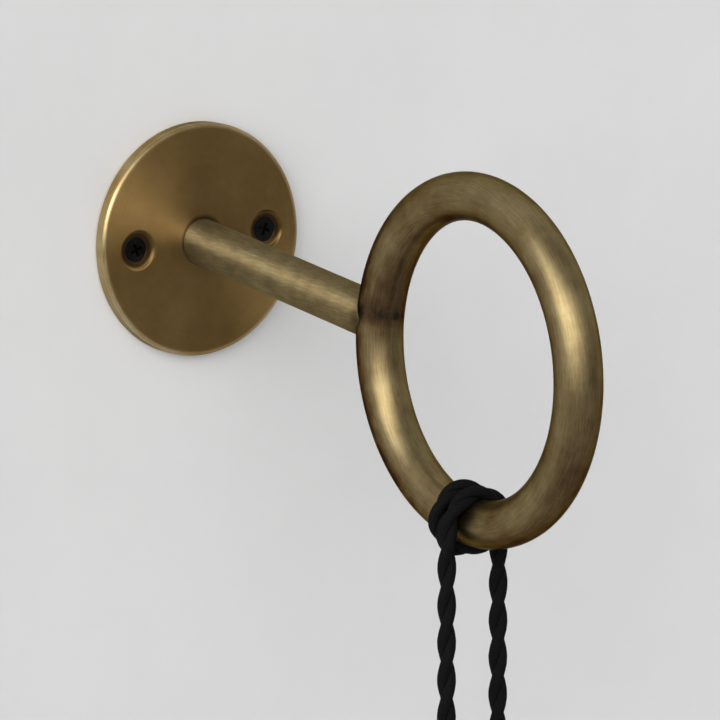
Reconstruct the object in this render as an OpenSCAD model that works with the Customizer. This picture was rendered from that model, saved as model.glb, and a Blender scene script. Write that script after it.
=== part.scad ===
// Wall-mounted brass ring bracket with a twisted black cord turned round the bottom of the ring.
// Millimetres. The wall is the plane y = 0, the arm comes out of it towards -Y, and +Z is up.
// The origin is the centre of the backplate's back face. Local frames are the modules named *_frame.

/* [Backplate] */
// Diameter of the backplate
plate_d = 82; // [74:1:100]
// Thickness of the backplate at its rim
plate_edge = 5; // [4.5:0.5:8]
// Rise of the turned face from the rim to the seat of the arm
plate_rise = 0.6; // [0.2:0.1:2]
// Radius of the rounded front edge
plate_round = 1.5; // [0.5:0.1:2]
// Angle by which the plate and its screws are turned on the wall, the right screw higher
plate_turn = 2.5; // [-5:0.5:5]

/* [Wall screws] */
// Distance between the two screw holes
screw_spacing = 54; // [46:1:60]
// Diameter of a screw head
screw_head_d = 8.6; // [7.6:0.2:9.4]
// Diameter of a screw shank
screw_shank_d = 4.2; // [3.5:0.1:4.5]
// Length of a screw that goes into the wall
screw_in_wall = 32; // [20:1:45]
// Diameter of the dish that each screw head sits in
lip_d = 14.8; // [14:0.2:16]
// Radius that rounds the dish's lip, and its corner inside
lip_round = 0.8; // [0.6:0.1:1]

/* [Arm and ring] */
// Diameter of the round bar that the arm and the ring are made from
bar_d = 16; // [12:0.5:20]
// Distance along the arm from the wall to the ring's centre
reach = 165.5; // [120:0.5:200]
// Angle by which the arm leaves the plate below square
droop = 6.5; // [0:0.5:8]
// Radius of the ring's centreline
ring_r = 54; // [45:1:65]
// Thread diameter of the two hidden fixings
thread_d = 6; // [5:0.5:8]

/* [Cord] */
// Diameter over the two twisted cores
cord_d = 6.2; // [5:0.2:7]
// Depth of the knots' tops below the bar at the bottom of the ring
knot_depth = 76; // [60:1:140]
// Diameter of a stopper knot
knot_d = 15; // [12:0.5:18]
// Height of a stopper knot
knot_h = 17; // [14:0.5:20]
// Length of cord left below a knot
tail = 14; // [10:1:30]

/* [Hidden] */
$fn = 96;
brass = [0.45, 0.36, 0.20];
cord_black = [0.05, 0.05, 0.05];

slack = 0.03;
plate_r = plate_d / 2;
bar_r = bar_d / 2;
arc_steps = 6;

// The flat seat in the middle of the plate, and the shallow socket in it that holds the arm's end
seat_r = bar_r + 1;
seat_z = plate_edge + plate_rise;
socket_gap = 0.25;
socket_z = seat_z - 0.6;

// Dish, countersink and screws, with heights counted from the wall
head_r = screw_head_d / 2;
shank_r = screw_shank_d / 2;
hole_r = shank_r + 0.25;
lip_r = lip_d / 2;
// Height of the coned face at the screws' distance from the centre
face_slope = plate_rise / (plate_r - plate_round - seat_r);
face_z = seat_z - face_slope * (screw_spacing / 2 - seat_r);
// Down the dish: a rounded lip, a short 45 degree wall, a rounded corner and a gently sloping floor
dish_wall = 0.4;
dish_slope = 15;
wall_start_r = lip_r - lip_round * sin(45);
wall_start_z = face_z - lip_round * (1 - cos(45));
corner_r = wall_start_r - dish_wall - lip_round * sin(45);
corner_z = wall_start_z - dish_wall + lip_round * cos(45);
floor_r = corner_r + lip_round * sin(dish_slope);
floor_z = corner_z - lip_round * cos(dish_slope);
// The head lies a little below the floor, in a 45 degree seat
cone_r = head_r + 0.15;
cone_z = floor_z - (floor_r - cone_r) * tan(dish_slope);
head_z = cone_z - (cone_r - head_r);
hole_z = head_z - (head_r - hole_r);
neck_r = shank_r - 0.1;
plain_in_wall = 8;
thread_pitch = 1.8;
thread_depth = 0.55;
recess_l = 4.4;
recess_w = 0.9;
recess_deep = 1.6;

// Hidden fixings on the arm's own axis
fix_r = thread_d / 2;
fix_head_r = fix_r + 2.6;
fix_head_z = fix_head_r * tan(droop) + 0.3;
fix_end_z = 20;
socket_af = 4;
socket_deep = 2.2;
stud_in_arm = 13;
stud_in_ring = 9;
bore_over = 0.6;

// Ring and cord
cope_gap = 0.05;
ring_y = -reach * cos(droop);
ring_z = -reach * sin(droop);
bottom_z = ring_z - ring_r;
joint_z = reach - ring_r - bar_r;
cord_r = cord_d / 2;
hitch_in = bar_r + 0.15;
hitch_out = bar_r + cord_d + 0.4;
hitch_half_angle = 8.5;
// The turns sit a little to the wall's side of the ring's lowest point
hitch_shift_angle = 3.2;
// Each hanging strand: distance to the side of the bar and distance towards the wall
front_at = [-11.4, 0.7];
back_at = [12.8, 4.8];
stub_top = 5;
stub_end = 14.5;
pivot_drop = 18;
cap_gap = 0.1;
cord_sides = 12;
tail_r = cord_r;

// Local +Z points out of the wall and local +Y points up
module wall_frame() rotate([90, 0, 0]) children();

// The same, turned with the plate
module plate_frame() wall_frame() rotate([0, 0, plate_turn]) children();

// Local +Z runs along the arm, from the wall to the ring's centre
module arm_frame() rotate([droop, 0, 0]) wall_frame() children();

// Local +Z is across the ring, local +X points down and local +Y points to the wall
module ring_frame() translate([0, ring_y, ring_z]) rotate([0, 90, 0]) children();

// Points of a quarter-circle or less, from one angle to another
function arc(c, r, from, to) =
    [for (i = [0 : arc_steps]) c + r * [cos(from + (to - from) * i / arc_steps),
                                        sin(from + (to - from) * i / arc_steps)]];

module plate_blank()
    rotate_extrude()
        polygon(concat(
            [[0, 0], [plate_r - 0.4, 0], [plate_r, 0.4]],
            arc([plate_r - plate_round, plate_edge - plate_round], plate_round, 0, 90),
            [[seat_r, seat_z], [0, seat_z]]));

// Everything cut away for one wall screw: dish, seat for the head and clearance hole
module countersink()
    rotate_extrude()
        polygon(concat(
            [[0, -1], [hole_r, -1], [hole_r, hole_z], [cone_r, cone_z]],
            arc([corner_r, corner_z], lip_round, dish_slope - 90, -45),
            arc([lip_r, face_z - lip_round], lip_round, 135, 90),
            [[lip_r, face_z + 2], [0, face_z + 2]]));

// The shallow socket, centred where the arm's axis passes its floor
module arm_socket()
    translate([0, -socket_z * tan(droop), socket_z]) cylinder(r = bar_r + socket_gap, h = 2);

module arm_screw_cutter(gap)
    rotate_extrude()
        polygon([[0, -2], [fix_head_r + gap, -2], [fix_head_r + gap, fix_head_z - gap],
            [fix_r + gap, fix_head_z - gap + fix_head_r - fix_r], [fix_r + gap, seat_z + 2],
            [0, seat_z + 2]]);

module backplate()
    color(brass)
    difference() {
        plate_frame()
            difference() {
                plate_blank();
                for (side = [-1, 1])
                    translate([side * screw_spacing / 2, 0, 0])
                        countersink();
            }
        wall_frame() arm_socket();
        arm_frame() arm_screw_cutter(0.15);
    }

module arm()
    color(brass)
    difference() {
        arm_frame() cylinder(r = bar_r, h = reach - ring_r);
        // The wall end is cut parallel to the wall, so that it sits flat in its socket
        wall_frame() translate([-bar_d, -bar_d, -bar_d]) cube([2 * bar_d, 2 * bar_d, bar_d + socket_z]);
        // The other end is hollowed to fit round the ring
        ring_frame() rotate_extrude() translate([ring_r, 0]) circle(r = bar_r + cope_gap);
        arm_frame() cylinder(r = fix_r + slack, h = fix_end_z + bore_over);
        arm_frame()
            translate([0, 0, joint_z - stud_in_arm - bore_over])
                cylinder(r = fix_r + slack, h = bar_d + stud_in_arm);
    }

module ring()
    color(brass)
    difference() {
        ring_frame() rotate_extrude() translate([ring_r, 0]) circle(r = bar_r);
        arm_frame()
            translate([0, 0, joint_z - 1])
                cylinder(r = fix_r + slack, h = 1 + stud_in_ring + bore_over);
    }

// Countersunk socket screw, put in from behind the plate
module arm_screw()
    color("dimgray")
    arm_frame()
    difference() {
        rotate_extrude()
            polygon([[0, fix_head_z], [fix_head_r, fix_head_z], [fix_r, fix_head_z + fix_head_r - fix_r],
                [fix_r, fix_end_z - 0.6], [fix_r - 0.6, fix_end_z], [0, fix_end_z]]);
        translate([0, 0, fix_head_z - 1]) cylinder(d = socket_af / cos(30), h = 1 + socket_deep, $fn = 6);
    }

// Threaded stud that holds the ring against the hollowed end of the arm
module ring_stud()
    color("dimgray")
    arm_frame()
    translate([0, 0, joint_z - stud_in_arm])
        rotate_extrude()
            polygon([[0, 0], [fix_r - 0.6, 0], [fix_r, 0.6], [fix_r, stud_in_arm + stud_in_ring - 0.6],
                [fix_r - 0.6, stud_in_arm + stud_in_ring], [0, stud_in_arm + stud_in_ring]]);

// Countersunk wood screw: plain at the wall's surface, threaded further in
module wall_screw() {
    thread_end = -screw_in_wall + 4;
    turns = floor((-plain_in_wall - thread_end) / thread_pitch);
    crest_r = shank_r;
    root_r = shank_r - thread_depth;
    difference() {
        rotate_extrude()
            polygon(concat(
                [[0, -screw_in_wall]],
                [for (i = [turns - 1 : -1 : 0], end = [1, 0.5])
                    [end == 1 ? root_r : crest_r, -plain_in_wall - thread_pitch * (i + end)]],
                [[root_r, -plain_in_wall], [shank_r, -plain_in_wall + 0.5], [shank_r, 0], [neck_r, 0],
                 [neck_r, head_z - (head_r - neck_r) + slack], [head_r - slack, head_z],
                 [head_r * 0.6, head_z + 0.35], [0, head_z + 0.5]]));
        for (turn = [0, 90])
            rotate([0, 0, turn])
                translate([-recess_l / 2, -recess_w / 2, head_z + 0.5 - recess_deep])
                    cube([recess_l, recess_w, recess_deep + 1]);
    }
}

module wall_screw_left()
    color("black") plate_frame() translate([-screw_spacing / 2, 0, 0]) rotate([0, 0, 20]) wall_screw();

module wall_screw_right()
    color("black") plate_frame() translate([screw_spacing / 2, 0, 0]) rotate([0, 0, 65]) wall_screw();

// Where a hanging strand is, at a depth below the bar's centre at the bottom of the ring
function strand_point(at, depth) = [at[0], ring_y + at[1], bottom_z - depth];

// A closed tube with a flat-sided round section: one [point, radius] for each ring, hanging along -Z
module hanging_tube(stations) {
    n = len(stations);
    points = [for (s = stations, i = [0 : cord_sides - 1])
        s[0] + s[1] * [cos(360 * i / cord_sides), sin(360 * i / cord_sides), 0]];
    sides = [for (k = [0 : n - 2], i = [0 : cord_sides - 1])
        let (a = k * cord_sides + i, b = k * cord_sides + (i + 1) % cord_sides)
            [a, b, b + cord_sides, a + cord_sides]];
    top = [for (i = [cord_sides - 1 : -1 : 0]) i];
    bottom = [for (i = [0 : cord_sides - 1]) (n - 1) * cord_sides + i];
    polyhedron(points = points, faces = concat(sides, [top, bottom]));
}

// The turns of cord round the bar, and the first stretch of both strands below them
module cord_hitch()
    color(cord_black)
    union() {
        ring_frame()
            rotate([0, 0, hitch_shift_angle - hitch_half_angle])
                rotate_extrude(angle = 2 * hitch_half_angle)
                    translate([ring_r, 0])
                        difference() {
                            circle(r = hitch_out);
                            circle(r = hitch_in);
                        }
        for (at = [front_at, back_at])
            translate(strand_point(at, stub_end)) cylinder(r = cord_r, h = stub_end - stub_top);
    }

// Depths below the bar where a strand's route has its points, after its rounded top
strand_depths = [20, 30, 45, 60, 70];

module strand(at)
    hanging_tube(concat(
        [for (tilt = [80, 60, 40, 20, 0])
            [strand_point(at, pivot_drop - (cord_r - cap_gap) * sin(tilt)), cord_r * cos(tilt)]],
        [for (depth = strand_depths) [strand_point(at, depth), cord_r]],
        [[strand_point(at, knot_depth), cord_r]]));

module cord_front() color(cord_black) strand(front_at);
module cord_back() color(cord_black) strand(back_at);

// The outer shape of a stopper knot with the end of the cord below it
module knot(at)
    translate(strand_point(at, knot_depth + knot_h))
        union() {
            rotate_extrude()
                polygon(concat(
                    [[0, 0]],
                    [for (tilt = [-75 : 15 : 75])
                        [knot_d / 2 * cos(tilt) ^ 0.6, knot_h / 2 * (1 + sin(tilt))]],
                    [[0, knot_h]]));
            translate([0, 0, -tail]) cylinder(r = tail_r, h = tail + 2);
        }

module knot_front() color(cord_black) knot(front_at);
module knot_back() color(cord_black) knot(back_at);

backplate();
arm();
ring();
arm_screw();
ring_stud();
wall_screw_left();
wall_screw_right();
cord_hitch();
cord_front();
cord_back();
knot_front();
knot_back();
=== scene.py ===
import math

import bmesh
import bpy
import numpy as np
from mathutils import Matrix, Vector


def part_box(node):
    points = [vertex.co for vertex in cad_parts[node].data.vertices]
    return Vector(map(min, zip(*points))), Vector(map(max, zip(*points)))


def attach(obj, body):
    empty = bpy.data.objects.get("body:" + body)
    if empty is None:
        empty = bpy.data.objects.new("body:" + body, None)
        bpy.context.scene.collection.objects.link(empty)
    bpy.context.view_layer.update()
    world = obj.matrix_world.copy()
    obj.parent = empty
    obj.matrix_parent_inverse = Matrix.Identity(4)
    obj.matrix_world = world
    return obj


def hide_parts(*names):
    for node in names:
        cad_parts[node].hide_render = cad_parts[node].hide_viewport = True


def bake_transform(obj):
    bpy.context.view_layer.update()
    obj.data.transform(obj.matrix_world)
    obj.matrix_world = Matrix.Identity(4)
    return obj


MM = 0.001
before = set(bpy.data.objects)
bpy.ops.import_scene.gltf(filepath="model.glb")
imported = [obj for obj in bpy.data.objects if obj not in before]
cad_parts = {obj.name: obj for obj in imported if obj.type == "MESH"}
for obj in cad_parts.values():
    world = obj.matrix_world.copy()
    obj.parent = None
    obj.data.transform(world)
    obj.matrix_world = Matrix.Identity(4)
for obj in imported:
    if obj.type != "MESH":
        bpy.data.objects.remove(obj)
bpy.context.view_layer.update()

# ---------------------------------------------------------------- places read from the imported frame
ring_low, ring_high = (np.array(corner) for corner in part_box("ring"))
RING_CENTRE = (ring_low + ring_high) / 2
BAR_R = (ring_high[0] - ring_low[0]) / 2
RING_R = (ring_high[2] - ring_low[2]) / 2 - BAR_R
ARM_DIR = RING_CENTRE / np.linalg.norm(RING_CENTRE)
BAR_BOTTOM = RING_CENTRE - np.array([0, 0, RING_R])
plate_low, plate_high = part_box("backplate")
PLATE_R = (plate_high.x - plate_low.x) / 2
SCREWS_AT = []
for screw in ("wall_screw_left", "wall_screw_right"):
    screw_low, screw_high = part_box(screw)
    SCREWS_AT.append(((screw_low.x + screw_high.x) / 2, screw_low.y, (screw_low.z + screw_high.z) / 2))



def put_in_scene(name, data):
    """A new object for a mesh or a camera, linked to the scene."""
    made = bpy.data.objects.new(name, data)
    bpy.context.scene.collection.objects.link(made)
    return made


def mesh_from(bm, name):
    """The mesh of a finished bmesh, which is freed."""
    mesh = bpy.data.meshes.new(name)
    bm.to_mesh(mesh)
    bm.free()
    return mesh


# ---------------------------------------------------------------- camera
CAMERA_AZIMUTH = math.radians(-35.69)
CAMERA_ELEVATION = math.radians(10.55)
CAMERA_DISTANCE = 1.8735
CAMERA_AIM = Vector((-0.0079, -0.1102, -0.0258))
CAMERA_LENS_MM = 281.2
CAMERA_FAR = 50
SENSOR_MM = 36


def make_camera():
    """A long lens on the left of the bracket and a little above it."""
    data = bpy.data.cameras.new("camera")
    data.sensor_width = SENSOR_MM
    data.lens = CAMERA_LENS_MM
    data.clip_end = CAMERA_FAR
    camera = put_in_scene("camera", data)
    a, e = CAMERA_AZIMUTH, CAMERA_ELEVATION
    back = Vector((math.sin(a) * math.cos(e), -math.cos(a) * math.cos(e), math.sin(e)))
    camera.location = CAMERA_AIM + back * CAMERA_DISTANCE
    camera.rotation_mode = "QUATERNION"
    camera.rotation_quaternion = (-back).to_track_quat("-Z", "Y")
    bpy.context.scene.camera = camera


# ---------------------------------------------------------------- cord: sizes and route
# A core's radius, and how far its centre is from the middle of the pair
CORE_R = 2.0 * MM
CORE_OFF = 1.12 * MM
# Half the gap between the flats where the cores press on each other
FLAT_OFF = 0.04 * MM
CORE_SIDES = 36
RING_STEP = 0.35 * MM
# The pair makes one full twist in this length
LAY_LENGTH = 25.1 * MM
# A core's end is closed by shrinking its last rings: the share left at the end, and what each next ring gains
END_SHARE = 0.35
END_GAIN = 0.25
# The braided cover's diamonds round a core, their length along it and their height
BRAID_ROUND = 8
BRAID_LENGTH = 3.0 * MM
BRAID_HEIGHT = 0.05 * MM

# Where each strand hangs, from the bar's centre at the bottom of the ring: to the side, and towards the wall
FRONT_AT = np.array([-11.4, 0.7, 0.0]) * MM
BACK_AT = np.array([12.8, 4.8, 0.0]) * MM
# Depths below the bar's centre: where a strand leaves the turns, its pivot, and the points down it
LEAVING_DEPTHS = np.array([8, 14]) * MM
STRAND_DEPTHS = np.array([20, 30, 45, 60, 70, 76]) * MM

# The turns round the bar, at each quarter turn from the front: degrees, mm along the bar away from the wall,
# and mm from its centre. The cores lie on it, 8 + 2 mm from its centre. The second turn is nearer the wall.
TURNS = [
    [0, -0.5, 11],
    [90, 1.5, 10],
    [180, 0.5, 10],
    [270, -5.5, 10],
    [360, -8, 10],
    [450, -8.5, 10],
    [540, -5, 10.5],
]
# Between a turn's points; where the cores' centres lie from the bar's; and how clear of the bar a core stays
DEGREES_APART = 3
LIES_AT = BAR_R + CORE_R
BAR_GAP = 0.05 * MM

# The two cords meet behind the bar, overlap there, and the back one's twist is matched to the front one's
SPLIT_DEGREES = 500
OVERLAP_DEGREES = 8
MATCHED_OVER = 14 * MM

# How often a route's corners are eased
CORD_PASSES = 40
KNOT_PASSES = 60

# The first part of a line, which lies on the bar and not below it
ON_BAR_SHARE = 0.3

# Any direction that the cords don't start along
START_ACROSS = [0.3, 0.2, 0.9]

# Depth at which each strand is seen edge-on, so that it looks thinnest
FRONT_EDGE_ON = 20.1 * MM
BACK_EDGE_ON = 15.9 * MM


def smooth_through(keys, values, at):
    """Cubic curve through values at keys, read off at other places."""
    keys, values = np.array(keys, float), np.array(values, float)
    slopes = np.gradient(values, keys, axis=0)
    i = np.clip(np.searchsorted(keys, at, side="right") - 1, 0, len(keys) - 2)
    width = keys[i + 1] - keys[i]
    t = (at - keys[i]) / width
    h00, h10 = 2 * t**3 - 3 * t**2 + 1, t**3 - 2 * t**2 + t
    h01, h11 = -2 * t**3 + 3 * t**2, t**3 - t**2
    return h00 * values[i] + h10 * width * slopes[i] + h01 * values[i + 1] + h11 * width * slopes[i + 1]


def on_bar(degrees, along, away):
    """The point that many degrees round the bar, mm along it and mm from its centre."""
    turn = math.radians(degrees)
    bend = along * MM / RING_R
    out = np.array([0, -math.sin(bend), -math.cos(bend)])
    side = np.array([-1.0, 0, 0])
    return RING_CENTRE + out * RING_R + away * MM * (math.cos(turn) * side - math.sin(turn) * out)


def turns_between(first, last):
    """Points round the bar between two angles, in order."""
    count = max(2, int(abs(last - first) / DEGREES_APART))
    keys = [t[0] for t in TURNS]
    points = []
    for degrees in np.linspace(first, last, count):
        along = smooth_through(keys, [t[1] for t in TURNS], degrees)
        away = smooth_through(keys, [t[2] for t in TURNS], degrees)
        points.append(on_bar(degrees, along, away))
    return points


def hanging(at):
    """Points down a hanging strand."""
    return [BAR_BOTTOM + at - np.array([0, 0, depth]) for depth in [*LEAVING_DEPTHS, *STRAND_DEPTHS]]


def run_of(line):
    """The length along a line at each of its points."""
    return np.concatenate([[0], np.cumsum(np.linalg.norm(np.diff(line, axis=0), axis=1))])


def evenly(points, step):
    """The line again, with points a step apart."""
    points = np.array(points)
    run = run_of(points)
    at = np.linspace(0, run[-1], max(2, int(round(run[-1] / step)) + 1))
    return np.stack([np.interp(at, run, points[:, k]) for k in range(3)], axis=1)


def softened(points, passes):
    """The line with its corners eased, its ends kept."""
    points = points.copy()
    for _ in range(passes):
        points[1:-1] = points[1:-1] / 2 + (points[:-2] + points[2:]) / 4
    return points


def frames_along(line):
    """Directions along the line, and a pair across it that turns as little as it can."""
    along = np.gradient(line, axis=0)
    along /= np.linalg.norm(along, axis=1)[:, None]
    across = np.zeros_like(line)
    first = np.cross(along[0], START_ACROSS)
    across[0] = first / np.linalg.norm(first)
    for i in range(1, len(line)):
        turned = across[i - 1] - along[i] * (across[i - 1] @ along[i])
        across[i] = turned / np.linalg.norm(turned)
    return along, across, np.cross(along, across)


def edge_on_turn(line, frames, depth):
    """The place at a depth below the bar, and the turn that puts the cores one behind the other there."""
    _, across, other = frames
    run = run_of(line)
    off = abs(line[:, 2] - (BAR_BOTTOM[2] - depth))
    off[run < run[-1] * ON_BAR_SHARE] += 1
    i = int(np.argmin(off))
    look = np.array([-math.sin(CAMERA_AZIMUTH), math.cos(CAMERA_AZIMUTH), 0])
    return i, math.atan2(look @ other[i], look @ across[i])


def clear_of_bar(points):
    """Presses points that would be inside the bar out to its surface."""
    out = points - RING_CENTRE
    out[:, 0] = 0
    centreline = RING_CENTRE + out * (RING_R / np.linalg.norm(out, axis=1))[:, None]
    away = points - centreline
    distance = np.linalg.norm(away, axis=1)
    pushed = centreline + away * ((BAR_R + BAR_GAP) / distance)[:, None]
    return np.where((distance < BAR_R + BAR_GAP)[:, None], pushed, points)


def braid(length_at, round_at):
    """Height of a diamond braid, from -1 to 1, at lengths along a core and angles round it."""
    turn = 2 * math.pi * length_at / BRAID_LENGTH
    one = np.cos(BRAID_ROUND * round_at / 2 + turn)
    other = np.cos(BRAID_ROUND * round_at / 2 - turn)
    return np.abs(one) - np.abs(other)


def add_core(bm, layer, line, frames, turns, sign):
    """One core of the pair: a tube with a flat where it is pressed against the other."""
    _, across, other = frames
    run = run_of(line)
    angles = np.linspace(0, 2 * math.pi, CORE_SIDES, endpoint=False)
    rings = []
    for i, centre in enumerate(line):
        out = sign * (math.cos(turns[i]) * across[i] + math.sin(turns[i]) * other[i])
        beside = sign * (-math.sin(turns[i]) * across[i] + math.cos(turns[i]) * other[i])
        close = min(1.0, END_SHARE + min(i, len(line) - 1 - i) * END_GAIN)
        radius = (CORE_R + BRAID_HEIGHT * braid(run[i], angles)) * close
        far = np.maximum(CORE_OFF + radius * np.cos(angles), FLAT_OFF)
        points = centre + far[:, None] * out + (radius * np.sin(angles))[:, None] * beside
        ring = [bm.verts.new(p) for p in clear_of_bar(points)]
        for vert, angle in zip(ring, angles):
            vert[layer] = (run[i] / MM, math.cos(angle), math.sin(angle))
        rings.append(ring)
    for a, b in zip(rings, rings[1:]):
        for k in range(CORE_SIDES):
            n = (k + 1) % CORE_SIDES
            bm.faces.new((a[k], b[k], b[n], a[n]))
    bm.faces.new(rings[0])
    bm.faces.new(list(reversed(rings[-1])))


def twisted_pair(name, line, turns):
    """A mesh of both cores of the flex, twisted round each other along a line."""
    frames = frames_along(line)
    bm = bmesh.new()
    layer = bm.verts.layers.float_vector.new("braid")
    for sign in (1, -1):
        add_core(bm, layer, line, frames, turns, sign)
    bmesh.ops.recalc_face_normals(bm, faces=bm.faces)
    mesh = mesh_from(bm, name)
    for polygon in mesh.polygons:
        polygon.use_smooth = True
    return put_in_scene(name, mesh)


def front_line():
    """From behind the bar, nearly one and a half times round it and down in front."""
    turns = turns_between(SPLIT_DEGREES + OVERLAP_DEGREES, TURNS[0][0])
    line = evenly(turns + hanging(FRONT_AT), RING_STEP)
    return softened(line, CORD_PASSES)


def back_line():
    """From behind the bar straight down."""
    turns = turns_between(SPLIT_DEGREES - OVERLAP_DEGREES, TURNS[-1][0])
    line = evenly(turns + hanging(BACK_AT), RING_STEP)
    return softened(line, CORD_PASSES)


def even_turns(line, depth):
    """Twist along a line at the flex's own lay, edge-on to the camera at a depth."""
    i, turn = edge_on_turn(line, frames_along(line), depth)
    run = run_of(line)
    return turn + 2 * math.pi * (run - run[i]) / LAY_LENGTH


def across_pair(line, turns, at):
    """The direction from one core to the other at one place of a pair."""
    _, across, other = frames_along(line)
    return math.cos(turns[at]) * across[at] + math.sin(turns[at]) * other[at]


def matched(line, turns, other_line, other_turns):
    """Turns of a pair, changed near its start so that its cores run on into those of the other pair."""
    split = int(round(2 * math.radians(OVERLAP_DEGREES) * LIES_AT / RING_STEP))
    aim = across_pair(other_line, other_turns, split)
    _, across, other = frames_along(line)
    change = math.atan2(aim @ other[0], aim @ across[0]) - turns[0]
    change = (change + math.pi / 2) % math.pi - math.pi / 2
    left = np.clip(1 - run_of(line) / MATCHED_OVER, 0, 1)
    return turns + change * left * left * (3 - 2 * left)


# A knot's points, mm from the strand's lowest point: down into it, the wraps that climb back up, and the tail
KNOT_IN = [[-1.2, 0, 1.0], [-1.6, 0, -4], [-1.6, 0.4, -10], [-1.0, 2.5, -15.0]]
KNOT_TAIL = [[1.8, 0.5, -2.2], [1.6, 0, -6], [1.4, 0, -12], [1.0, 0, -18], [0.6, 0, -24], [0.4, 0, -31]]
WRAP_R = 5.4
WRAP_LOWEST = -13.8
WRAP_RISE = 10.4
WRAP_STEPS = 18
WRAP_START_DEGREES = 120
WRAP_STEP_DEGREES = 36


def make_knot(name, at, body, node):
    """A stopper knot: the strand wraps nearly twice round itself and comes out below as a short tail."""
    top = BAR_BOTTOM + at - np.array([0, 0, STRAND_DEPTHS[-1]])
    points = list(KNOT_IN)
    for k in range(WRAP_STEPS + 1):
        turn = math.radians(WRAP_START_DEGREES - WRAP_STEP_DEGREES * k)
        rise = WRAP_LOWEST + WRAP_RISE * k / WRAP_STEPS
        points.append([WRAP_R * math.cos(turn), WRAP_R * math.sin(turn), rise])
    points += KNOT_TAIL
    line = softened(evenly(top + np.array(points) * MM, RING_STEP), KNOT_PASSES)
    run = run_of(line)
    piece = twisted_pair(name, line, 2 * math.pi * run / LAY_LENGTH)
    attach(piece, body)
    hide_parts(node)
    return piece


def make_cords(material):
    """Both strands with the turns round the bar, and the knots below the view."""
    front, back = front_line(), back_line()
    front_turns = even_turns(front, FRONT_EDGE_ON)
    back_turns = matched(back, even_turns(back, BACK_EDGE_ON), front, front_turns)
    cord_front = twisted_pair("flex_front", front, front_turns)
    cord_back = twisted_pair("flex_back", back, back_turns)
    knots = [
        make_knot("knot_front_flex", FRONT_AT, "front_strand", "knot_front"),
        make_knot("knot_back_flex", BACK_AT, "back_strand", "knot_back"),
    ]
    for piece, body, nodes, line, knot in (
        (cord_front, "front_strand", ("cord_front", "cord_hitch"), front, knots[0]),
        (cord_back, "back_strand", ("cord_back",), back, knots[1]),
    ):
        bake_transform(piece)
        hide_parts(*nodes)
        piece.data.materials.append(material)
        knot.data.materials.append(material)


# ---------------------------------------------------------------- materials
# A quarter turn of the anisotropic highlight
GRAIN_TURN = 0.25


def new_material(name):
    """A material with its nodes and links."""
    material = bpy.data.materials.new(name)
    material.use_nodes = True
    return material, material.node_tree.nodes, material.node_tree.links


def add(nodes, kind, **settings):
    """A node with its settings; a key that starts with in_ sets an input."""
    node = nodes.new(kind)
    for key, value in settings.items():
        if key.startswith("in_"):
            node.inputs[key[3:].replace("_", " ")].default_value = value
        else:
            setattr(node, key, value)
    return node


def maths(nodes, links, operation, a, b=None):
    """The output of a Math node whose inputs are sockets or numbers."""
    node = nodes.new("ShaderNodeMath")
    node.operation = operation
    for socket, value in zip(node.inputs, (a, b)):
        if value is None:
            continue
        if isinstance(value, (int, float)):
            socket.default_value = value
        else:
            links.new(value, socket)
    return node.outputs[0]


def ramp(nodes, links, factor, stops):
    """A colour ramp read at a factor; stops are (place, colour)."""
    node = nodes.new("ShaderNodeValToRGB")
    while len(node.color_ramp.elements) < len(stops):
        node.color_ramp.elements.new(0.5)
    for element, (place, colour) in zip(node.color_ramp.elements, stops):
        element.position = place
        element.color = (*colour, 1)
    links.new(factor, node.inputs[0])
    return node.outputs[0]


def object_place(nodes):
    """The point's own coordinates, in metres."""
    return nodes.new("ShaderNodeTexCoord").outputs["Object"]


def surface_normal(nodes):
    """The direction that the surface faces."""
    return nodes.new("ShaderNodeNewGeometry").outputs["Normal"]


def add_relief(nodes, links, height, strength, distance):
    """Bumps the shader's surface by a pattern."""
    relief = add(nodes, "ShaderNodeBump", in_Strength=strength, in_Distance=distance)
    links.new(height, relief.inputs["Height"])
    links.new(relief.outputs["Normal"], nodes["Principled BSDF"].inputs["Normal"])


def round_coordinates(nodes, links, centre, axis):
    """Distance from an axis along X or Y through centre, the angle round it, and the place along it."""
    place = object_place(nodes)
    shift = add(nodes, "ShaderNodeVectorMath", operation="SUBTRACT")
    links.new(place, shift.inputs[0])
    shift.inputs[1].default_value = centre
    split = nodes.new("ShaderNodeSeparateXYZ")
    links.new(shift.outputs[0], split.inputs[0])
    x, y, z = split.outputs
    first, along = (y, x) if axis == "X" else (x, y)
    square = maths(nodes, links, "ADD", maths(nodes, links, "MULTIPLY", first, first),
                   maths(nodes, links, "MULTIPLY", z, z))
    return maths(nodes, links, "SQRT", square), maths(nodes, links, "ARCTAN2", z, first), along


def combine(nodes, links, x, y, z):
    """A vector of three sockets."""
    node = nodes.new("ShaderNodeCombineXYZ")
    for socket, value in zip(node.inputs, (x, y, z)):
        links.new(value, socket)
    return node.outputs[0]


def stretched(nodes, links, coordinates, scales):
    """Coordinates, each times its own scale, so that noise read there runs as grain."""
    return combine(nodes, links, *(maths(nodes, links, "MULTIPLY", value, scale)
                                   for value, scale in zip(coordinates, scales)))


def noise(nodes, links, vector, scale, detail, roughness=0.5):
    """Smooth noise from 0 to 1; scale is its cells in a unit of the vector."""
    node = add(nodes, "ShaderNodeTexNoise", in_Scale=scale, in_Detail=detail, in_Roughness=roughness)
    links.new(vector, node.inputs["Vector"])
    return node.outputs["Fac"]


def grain_along(nodes, links, axis):
    """Grain round an axis: it spreads each highlight along that axis, or along the radius of a flat face."""
    shader = nodes["Principled BSDF"]
    tangent = add(nodes, "ShaderNodeVectorMath", operation="CROSS_PRODUCT")
    tangent.inputs[0].default_value = axis
    if axis == (0, 1, 0):
        links.new(object_place(nodes), tangent.inputs[1])
    else:
        links.new(surface_normal(nodes), tangent.inputs[1])
    links.new(tangent.outputs[0], shader.inputs["Tangent"])
    shader.inputs["Anisotropic Rotation"].default_value = GRAIN_TURN


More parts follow.
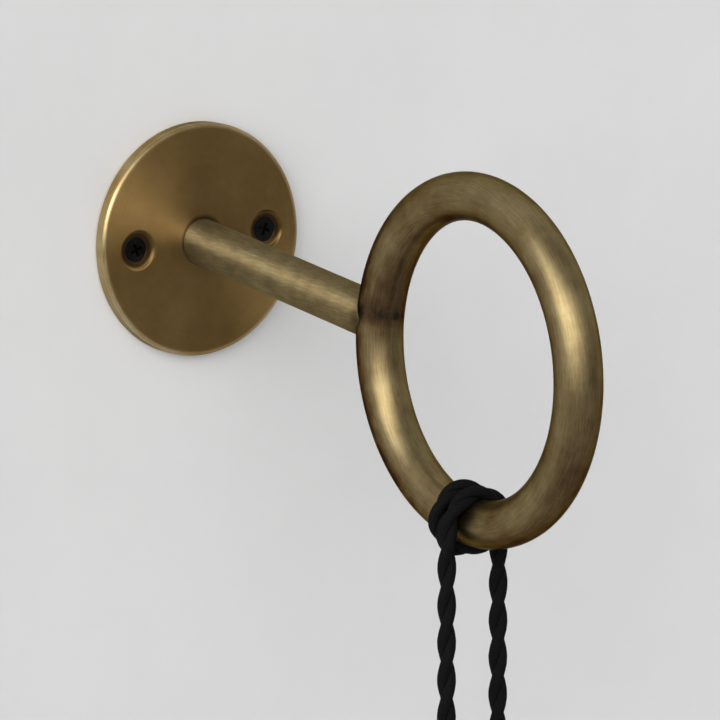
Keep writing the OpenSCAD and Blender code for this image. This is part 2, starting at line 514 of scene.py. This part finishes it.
def finish_brass(nodes, links, tone, tones, roughness, anisotropy, relief_of, bump):
    """Sets the brass shader from a tone: low where patina is left or shade is painted, high where the metal
    is bright or a highlight is painted.

    Returns the roughness it links, so that a caller can vary it.
    """
    shader = nodes["Principled BSDF"]
    shader.inputs["Metallic"].default_value = 1.0
    shader.inputs["Specular Tint"].default_value = BRASS_EDGE
    shader.inputs["Anisotropic"].default_value = anisotropy
    links.new(ramp(nodes, links, tone, tones), shader.inputs["Base Color"])
    rough = add(nodes, "ShaderNodeMapRange", in_From_Min=DULL_TONE, in_From_Max=BRIGHT_TONE,
                in_To_Min=roughness[0], in_To_Max=roughness[1])
    links.new(tone, rough.inputs["Value"])
    links.new(rough.outputs["Result"], shader.inputs["Roughness"])
    add_relief(nodes, links, relief_of, bump, BRASS_RELIEF)
    return rough.outputs["Result"]


def blend_of(nodes, links, *parts):
    """The sum of patterns, each given as (pattern, how much of it)."""
    total = maths(nodes, links, "MULTIPLY", *parts[0])
    for pattern, share in parts[1:]:
        total = maths(nodes, links, "ADD", total, maths(nodes, links, "MULTIPLY", pattern, share))
    return total


def near(nodes, links, place, spot, core, reach):
    """1 within a distance of a spot, falling to 0 at a longer one."""
    distance = add(nodes, "ShaderNodeVectorMath", operation="DISTANCE")
    links.new(place, distance.inputs[0])
    distance.inputs[1].default_value = spot
    fall = add(nodes, "ShaderNodeMapRange", interpolation_type="SMOOTHSTEP",
               in_From_Min=reach, in_From_Max=core)
    links.new(distance.outputs["Value"], fall.inputs["Value"])
    return fall.outputs["Result"]


def profile(nodes, links, value, first, last, heights):
    """A smooth line through heights, evenly spread between two values."""
    spread = add(nodes, "ShaderNodeMapRange", in_From_Min=first, in_From_Max=last)
    links.new(value, spread.inputs["Value"])
    stops = [(k / (len(heights) - 1), (h, h, h)) for k, h in enumerate(heights)]
    return ramp(nodes, links, spread.outputs["Result"], stops)


def facing(nodes, links, direction, first, last):
    """0 where the surface turns away from a direction, 1 where it faces it."""
    towards = add(nodes, "ShaderNodeVectorMath", operation="DOT_PRODUCT")
    links.new(surface_normal(nodes), towards.inputs[0])
    towards.inputs[1].default_value = direction
    fall = add(nodes, "ShaderNodeMapRange", interpolation_type="SMOOTHSTEP",
               in_From_Min=first, in_From_Max=last)
    links.new(towards.outputs["Value"], fall.inputs["Value"])
    return fall.outputs["Result"]


BRASS_EDGE = (0.30, 0.29, 0.27, 1)
BRASS_RELIEF = 0.02 * MM
# The tones between which the roughness goes from its first value to its second
DULL_TONE = 0.2
BRIGHT_TONE = 0.7
# The darkest stop serves the painted shade in the dishes and round the foot; the palest is the colour of the
# painted highlight on the rounded edge
PLATE_TONES = [(0.0, (0.06, 0.038, 0.017)), (0.25, (0.19, 0.112, 0.038)), (0.5, (0.28, 0.177, 0.065)),
               (0.75, (0.38, 0.255, 0.10)), (1.0, (0.60, 0.50, 0.31))]
RING_TONES = [(0.0, (0.03, 0.024, 0.018)), (0.27, (0.12, 0.073, 0.034)), (0.5, (0.225, 0.171, 0.082)),
              (0.75, (0.36, 0.295, 0.155))]
ARM_TONES = [(0.0, (0.04, 0.03, 0.02)), (0.2, (0.12, 0.086, 0.042)), (0.5, (0.245, 0.187, 0.091)),
             (0.8, (0.40, 0.32, 0.17))]
# Distances from a spot for the painted shade in the screw dishes and round the arm's foot: full shade within
# the first, none beyond the second
DISH_SHADE_R = (4.8 * MM, 7.4 * MM)
FOOT_SHADE_R = (BAR_R, BAR_R + 1.5 * MM)
# Radii between which the plate's rounded edge gets a painted highlight and is smoother, and how much smoother
# it is there
EDGE_R = (PLATE_R - 2 * MM, PLATE_R - 1 * MM)
EDGE_SMOOTHER = 0.55


def plate_brass():
    """Turned face: fine rings about the plate's centre, which spread each highlight along its radius."""
    material, nodes, links = new_material("plate_brass")
    radius, angle, depth = round_coordinates(nodes, links, (0, 0, 0), "Y")
    grain = stretched(nodes, links, (radius, angle, depth), (9000.0, 3.0, 900.0))
    streaks = noise(nodes, links, grain, scale=1.0, detail=2.0)
    place = object_place(nodes)
    patches = noise(nodes, links, place, scale=30.0, detail=4.0, roughness=0.6)
    # Painted highlight on the rounded edge, which is also made smoother there
    edge_highlight_and_smoothing = profile(nodes, links, radius, *EDGE_R, (0, 0.6, 1))
    # Painted shade: the plate is darkened in the recessed dish round each screw
    dish_painted_shade = maths(nodes, links, "ADD", *(near(nodes, links, place, spot, *DISH_SHADE_R) for spot in SCREWS_AT))
    # Painted shade: the plate is darkened in the crease round the arm's foot
    foot = near(nodes, links, place, (0, plate_low.y, 0), *FOOT_SHADE_R)
    tone = blend_of(nodes, links, (streaks, 0.2), (patches, 0.8), (dish_painted_shade, -0.6), (foot, -0.4),
                    (edge_highlight_and_smoothing, 0.35))
    rough = finish_brass(nodes, links, tone, PLATE_TONES, roughness=(0.53, 0.57), anisotropy=0.9,
                         relief_of=streaks, bump=0.1)
    share = maths(nodes, links, "SUBTRACT", 1.0, maths(nodes, links, "MULTIPLY", edge_highlight_and_smoothing, EDGE_SMOOTHER))
    links.new(maths(nodes, links, "MULTIPLY", rough, share), nodes["Principled BSDF"].inputs["Roughness"])
    grain_along(nodes, links, (0, 1, 0))
    return material


# Angles round the ring between which each shade is spread, and its strengths from the first to the second
SEAM_SPREAD = (math.radians(-10), math.radians(35))
SEAM_DARK = (0, 0, 0, 0.1, 0.65, 0.4, 0.25, 0.18, 0.1, 0)
# Painted shade on the side that faces left and towards the wall, beside the arm, standing in for dark
# reflections there
WALLWARD_SHADE_SPREAD = (math.radians(-90), math.radians(30))
WALLWARD_SHADE_DARK = (0.3, 1, 1, 1, 0.4)
# A small dark mark on the seam, on the inner side of the ring
SEAM_MARK_ANGLE = math.radians(10)
SEAM_MARK_SIDE = 0.5 * MM
SEAM_MARK = np.array([SEAM_MARK_SIDE, (RING_R - BAR_R) * math.cos(SEAM_MARK_ANGLE),
                      (RING_R - BAR_R) * math.sin(SEAM_MARK_ANGLE)])
SEAM_MARK_R = (0, 2 * MM)
JOINT_DARK_R = (2 * MM, 12 * MM)
WALL_SIDE = (-0.8, 0.6, 0)
UNDERSIDE = (0, -0.5, -0.87)


def ring_brass():
    """Hand-brushed along the bar, darker at the joint with the arm."""
    material, nodes, links = new_material("ring_brass")
    radius, angle, side = round_coordinates(nodes, links, tuple(RING_CENTRE), "X")
    grain = stretched(nodes, links, (radius, angle, side), (3600.0, 7.0, 3600.0))
    streaks = noise(nodes, links, grain, scale=1.0, detail=4.0, roughness=0.65)
    place = object_place(nodes)
    patches = noise(nodes, links, place, scale=80.0, detail=6.0, roughness=0.65)
    seam = profile(nodes, links, angle, *SEAM_SPREAD, SEAM_DARK)
    joint = near(nodes, links, place, tuple(RING_CENTRE - ARM_DIR * (RING_R + BAR_R)), *JOINT_DARK_R)
    # Painted shade, standing in for dark reflections on the side that faces the wall
    beside_arm = profile(nodes, links, angle, *WALLWARD_SHADE_SPREAD, WALLWARD_SHADE_DARK)
    wallwards = facing(nodes, links, WALL_SIDE, first=0.55, last=0.95)
    wallward_painted_shade = maths(nodes, links, "MULTIPLY", beside_arm, wallwards)
    speckle = noise(nodes, links, place, scale=220.0, detail=4.0, roughness=0.6)
    worn = profile(nodes, links, speckle, 0.3, 0.6, (0.5, 1.0))
    # Darker at the seam and near the joint with the arm, with the painted shade on the wall side added in
    seam_joint_and_painted_shade = blend_of(nodes, links, (seam, 1.0), (joint, 0.35), (wallward_painted_shade, 0.7))
    joint_dark_and_painted_shade = maths(nodes, links, "MULTIPLY", worn, seam_joint_and_painted_shade)
    mark = near(nodes, links, place, tuple(RING_CENTRE + SEAM_MARK), *SEAM_MARK_R)
    # Painted shade: the ring is darker where it faces down
    underside_painted_shade = facing(nodes, links, UNDERSIDE, first=0.0, last=1.0)
    tone = blend_of(nodes, links, (streaks, 0.5), (patches, 0.5), (joint_dark_and_painted_shade, -0.5), (underside_painted_shade, -0.2),
                    (mark, -0.4))
    finish_brass(nodes, links, tone, RING_TONES, roughness=(0.31, 0.36), anisotropy=0.3,
                 relief_of=streaks, bump=0.3)
    tangent = add(nodes, "ShaderNodeTangent", direction_type="RADIAL", axis="X")
    links.new(tangent.outputs[0], nodes["Principled BSDF"].inputs["Tangent"])
    nodes["Principled BSDF"].inputs["Anisotropic Rotation"].default_value = GRAIN_TURN
    return material


ARM_FOOT_R = (8 * MM, 22 * MM)
ARM_END_R = (BAR_R, BAR_R + 3 * MM)


def arm_brass():
    """The same bar, drawn smooth, with a mottled patina."""
    material, nodes, links = new_material("arm_brass")
    place = object_place(nodes)
    stretch = add(nodes, "ShaderNodeMapping", in_Scale=(1500.0, 130.0, 1500.0))
    links.new(place, stretch.inputs["Vector"])
    streaks = noise(nodes, links, stretch.outputs[0], scale=1.0, detail=3.0)
    patches = noise(nodes, links, place, scale=130.0, detail=6.0, roughness=0.65)
    foot = near(nodes, links, place, (0, 0, 0), *ARM_FOOT_R)
    end = near(nodes, links, place, tuple(RING_CENTRE - ARM_DIR * RING_R), *ARM_END_R)
    tone = blend_of(nodes, links, (streaks, 0.5), (patches, 0.5), (foot, 0.03), (end, -0.3))
    finish_brass(nodes, links, tone, ARM_TONES, roughness=(0.48, 0.52), anisotropy=0.9,
                 relief_of=streaks, bump=0.3)
    grain_along(nodes, links, tuple(ARM_DIR))
    return material


def black_oxide():
    """Satin black screws, worn a little paler in places."""
    material, nodes, links = new_material("black_oxide")
    shader = nodes["Principled BSDF"]
    place = object_place(nodes)
    wear = noise(nodes, links, place, scale=900.0, detail=4.0)
    links.new(ramp(nodes, links, wear, [(0.5, (0.0015, 0.0015, 0.0015)), (0.8, (0.006, 0.005, 0.004))]),
              shader.inputs["Base Color"])
    shader.inputs["Roughness"].default_value = 0.3
    shader.inputs["Specular IOR Level"].default_value = 0.12
    return material


def zinc_steel():
    """Plated steel of the hidden fixings."""
    material, nodes, links = new_material("zinc_steel")
    shader = nodes["Principled BSDF"]
    shader.inputs["Metallic"].default_value = 1.0
    place = object_place(nodes)
    cloud = noise(nodes, links, place, scale=500.0, detail=4.0)
    links.new(ramp(nodes, links, cloud, [(0.3, (0.36, 0.36, 0.37)), (0.7, (0.55, 0.55, 0.56))]),
              shader.inputs["Base Color"])
    shader.inputs["Roughness"].default_value = 0.35
    return material


def black_textile():
    """Black braided cover: a fine diamond weave of matt yarns."""
    material, nodes, links = new_material("black_textile")
    shader = nodes["Principled BSDF"]
    shader.inputs["Roughness"].default_value = 0.8
    shader.inputs["Specular IOR Level"].default_value = 0.05
    attribute = add(nodes, "ShaderNodeAttribute", attribute_name="braid")
    split = nodes.new("ShaderNodeSeparateXYZ")
    links.new(attribute.outputs["Vector"], split.inputs[0])
    run, cos_round, sin_round = split.outputs
    angle = maths(nodes, links, "ARCTAN2", sin_round, cos_round)
    around = maths(nodes, links, "MULTIPLY", angle, float(BRAID_ROUND))
    along = maths(nodes, links, "MULTIPLY", run, 2 * math.pi * 2 / (BRAID_LENGTH / MM))
    yarns = []
    for crossing in ("ADD", "SUBTRACT"):
        wave = maths(nodes, links, "COSINE", maths(nodes, links, crossing, around, along))
        yarns.append(maths(nodes, links, "ABSOLUTE", wave))
    weave = maths(nodes, links, "MAXIMUM", *yarns)
    links.new(ramp(nodes, links, weave, [(0.6, (0.0008, 0.0008, 0.0009)), (1.0, (0.008, 0.008, 0.0084))]),
              shader.inputs["Base Color"])
    add_relief(nodes, links, weave, strength=0.6, distance=0.1 * MM)
    return material


def dress(name, material):
    """Gives a CAD node its finish."""
    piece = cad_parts[name]
    piece.data.materials.clear()
    piece.data.materials.append(material)


def dress_bracket():
    """The finishes of the bracket and its screws."""
    steel, screws = zinc_steel(), black_oxide()
    dress("backplate", plate_brass())
    dress("arm", arm_brass())
    dress("ring", ring_brass())
    for name in ("arm_screw", "ring_stud"):
        dress(name, steel)
    for name in ("wall_screw_left", "wall_screw_right"):
        dress(name, screws)


# ---------------------------------------------------------------- wall, floor and light
WALL_GAP = 0.3 * MM
WALL_HALF = 3.0
WALL_HOLE_R = PLATE_R - 1 * MM
WALL_HOLE_SIDES = 96
FLOOR_Z = -1.1


def wall_material():
    """Pale painted plaster. From behind it lets the view through, so that the back can be seen."""
    material, nodes, links = new_material("wall_paint")
    shader = nodes["Principled BSDF"]
    shader.inputs["Roughness"].default_value = 0.9
    place = object_place(nodes)
    mottle = noise(nodes, links, place, scale=14.0, detail=6.0, roughness=0.65)
    links.new(ramp(nodes, links, mottle, [(0.3, (0.70, 0.70, 0.70)), (0.7, (0.73, 0.73, 0.73))]),
              shader.inputs["Base Color"])
    plaster = noise(nodes, links, place, scale=350.0, detail=4.0)
    add_relief(nodes, links, plaster, strength=0.15, distance=0.3 * MM)
    clear = nodes.new("ShaderNodeBsdfTransparent")
    side = nodes.new("ShaderNodeNewGeometry").outputs["Backfacing"]
    mix = nodes.new("ShaderNodeMixShader")
    links.new(side, mix.inputs[0])
    links.new(shader.outputs[0], mix.inputs[1])
    links.new(clear.outputs[0], mix.inputs[2])
    links.new(mix.outputs[0], nodes["Material Output"].inputs["Surface"])
    return material


def make_wall():
    """A large plain wall with a hole behind the plate, which the plate covers."""
    bm = bmesh.new()
    inner, outer = [], []
    for k in range(WALL_HOLE_SIDES):
        turn = 2 * math.pi * k / WALL_HOLE_SIDES
        c, s = math.cos(turn), math.sin(turn)
        stretch = WALL_HALF / max(abs(c), abs(s))
        inner.append(bm.verts.new((WALL_HOLE_R * c, WALL_GAP, WALL_HOLE_R * s)))
        outer.append(bm.verts.new((stretch * c, WALL_GAP, stretch * s)))
    for k in range(WALL_HOLE_SIDES):
        n = (k + 1) % WALL_HOLE_SIDES
        bm.faces.new((inner[k], outer[k], outer[n], inner[n]))
    bm.normal_update()
    if bm.faces[:][0].normal.y > 0:
        bmesh.ops.reverse_faces(bm, faces=bm.faces)
    mesh = mesh_from(bm, "wall")
    mesh.materials.append(wall_material())
    wall = put_in_scene("wall", mesh)


def make_floor():
    """A plain pale floor far below the bracket, in front of the wall."""
    mesh = bpy.data.meshes.new("floor")
    corners = [(-WALL_HALF, WALL_GAP, FLOOR_Z), (-WALL_HALF, -2 * WALL_HALF, FLOOR_Z),
               (WALL_HALF, -2 * WALL_HALF, FLOOR_Z), (WALL_HALF, WALL_GAP, FLOOR_Z)]
    mesh.from_pydata(corners, [], [(0, 1, 2, 3)])
    material, nodes, _ = new_material("floor_paint")
    nodes["Principled BSDF"].inputs["Base Color"].default_value = (0.5, 0.5, 0.5, 1)
    nodes["Principled BSDF"].inputs["Roughness"].default_value = 0.9
    mesh.materials.append(material)
    floor = put_in_scene("floor", mesh)


# Directions are seen from the bracket, azimuth 0 straight out from the wall. The window fades over its width
# and height, and the light on the right is stronger the further right it is.
WINDOW_AZIMUTH = math.radians(-62)
WINDOW_ELEVATION = math.radians(22)
WINDOW_WIDTH = math.radians(53)
WINDOW_HEIGHT = math.radians(20)
WINDOW_LIGHT = 5.0
ROOM_LIGHT = 0.14
CEILING_LIGHT = 0.30
RIGHT_LIGHT = 0.5
BEHIND_LIGHT = 0.9
BACKGROUND_LIGHT = 0.66
RIGHT_NARROW = 4.0


def offset_square(nodes, links, value, centre, width):
    """The square of how many widths a value is from a centre."""
    offset = maths(nodes, links, "DIVIDE", maths(nodes, links, "SUBTRACT", value, centre), width)
    return maths(nodes, links, "MULTIPLY", offset, offset)


def make_world():
    """A room with one broad soft window on the left, above the bracket. Its own background is plain."""
    world = bpy.data.worlds.new("studio")
    bpy.context.scene.world = world
    world.use_nodes = True
    nodes, links = world.node_tree.nodes, world.node_tree.links
    split = nodes.new("ShaderNodeSeparateXYZ")
    links.new(nodes.new("ShaderNodeTexCoord").outputs["Generated"], split.inputs[0])
    x, y, z = split.outputs
    azimuth = maths(nodes, links, "ARCTAN2", x, maths(nodes, links, "MULTIPLY", y, -1.0))
    across = offset_square(nodes, links, azimuth, WINDOW_AZIMUTH, WINDOW_WIDTH)
    elevation = maths(nodes, links, "ARCSINE", z)
    height = offset_square(nodes, links, elevation, WINDOW_ELEVATION, WINDOW_HEIGHT)
    widths_off = maths(nodes, links, "ADD", across, height)
    lobe = maths(nodes, links, "EXPONENT", maths(nodes, links, "MULTIPLY", widths_off, -1.0))
    above = maths(nodes, links, "MAXIMUM", z, 0.0)
    right = maths(nodes, links, "POWER", maths(nodes, links, "MAXIMUM", x, 0.0), RIGHT_NARROW)
    front = blend_of(nodes, links, (lobe, WINDOW_LIGHT), (above, CEILING_LIGHT), (right, RIGHT_LIGHT))
    front = maths(nodes, links, "ADD", front, ROOM_LIGHT)
    behind = maths(nodes, links, "MULTIPLY", maths(nodes, links, "GREATER_THAN", y, 0.0), BEHIND_LIGHT)
    light = maths(nodes, links, "MAXIMUM", front, behind)
    plain = add(nodes, "ShaderNodeMix", data_type="FLOAT")
    links.new(nodes.new("ShaderNodeLightPath").outputs["Is Camera Ray"], plain.inputs[0])
    links.new(light, plain.inputs[2])
    plain.inputs[3].default_value = BACKGROUND_LIGHT
    links.new(plain.outputs[0], nodes["Background"].inputs["Strength"])
    nodes["Background"].inputs["Color"].default_value = (1, 1, 1, 1)


make_camera()
make_cords(black_textile())
dress_bracket()
make_wall()
make_floor()
make_world()
bpy.context.scene.view_settings.view_transform = "Standard"
